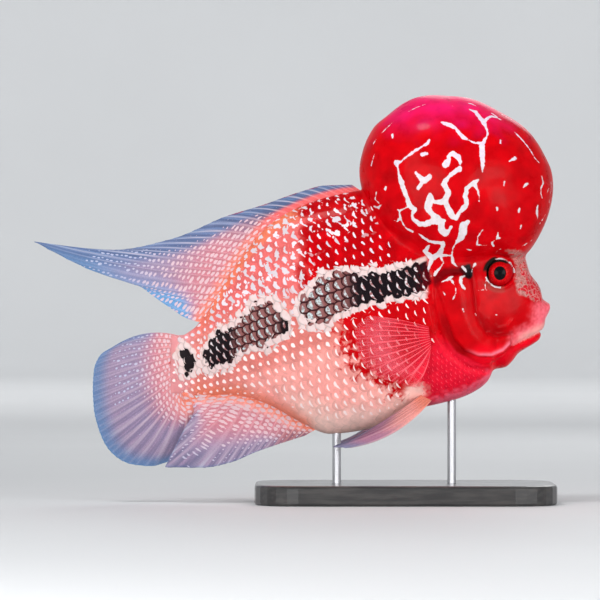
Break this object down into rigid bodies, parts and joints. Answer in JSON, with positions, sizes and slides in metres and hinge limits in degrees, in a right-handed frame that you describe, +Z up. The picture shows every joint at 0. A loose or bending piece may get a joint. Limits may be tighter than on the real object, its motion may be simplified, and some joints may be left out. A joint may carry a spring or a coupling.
{
  "type": "flowerhorn cichlid display model",
  "caption": "Still life-size flowerhorn cichlid with a large nuchal hump and long fins, held nose up by two short rods on a flat display base.",
  "frame": {"origin": "centre of the stand base's underside", "axes": "+X towards the fish's head, +Z up; the fish's left side is +Y"},
  "size_m": [0.3138, 0.108, 0.2448],
  "materials": {
    "skin_hump": "wet, glossy deep red with pearly white veins",
    "skin_head": "wet, glossy red",
    "skin_body": "satin to glossy scales, red in front to pale pink, with a black lateral band",
    "skin_gill_cover": "wet, glossy red with a few white marks",
    "eye": "clear, glossy",
    "fin_dorsal": "thin membrane, pink at the root to blue-grey at the edge",
    "fin_caudal": "thin membrane, pink to lavender with white dotted rays",
    "fin_anal": "thin membrane, pink with white dotted rays",
    "fin_pectoral": "thin see-through membrane, pale red",
    "fin_pelvic": "thin membrane, orange pink to lilac",
    "stand_base": "black satin lacquer",
    "stand_rod": "fine brushed"
  },
  "bodies": {
    "root": {"head": "skin_head", "nuchal_hump": "skin_hump", "lower_jaw": "skin_head", "torso": "skin_body", "tail": "skin_body", "gill_cover_right": "skin_gill_cover", "gill_cover_left": "skin_gill_cover", "eye_right": "eye", "eye_left": "eye", "dorsal_fin": "fin_dorsal", "caudal_fin": "fin_caudal", "anal_fin": "fin_anal", "pectoral_fin_right": "fin_pectoral", "pectoral_fin_left": "fin_pectoral", "pelvic_fin_right": "fin_pelvic", "pelvic_fin_left": "fin_pelvic", "stand_base": "stand_base", "stand_rod_front": "stand_rod", "stand_rod_rear": "stand_rod"}
  },
  "joints": []
}
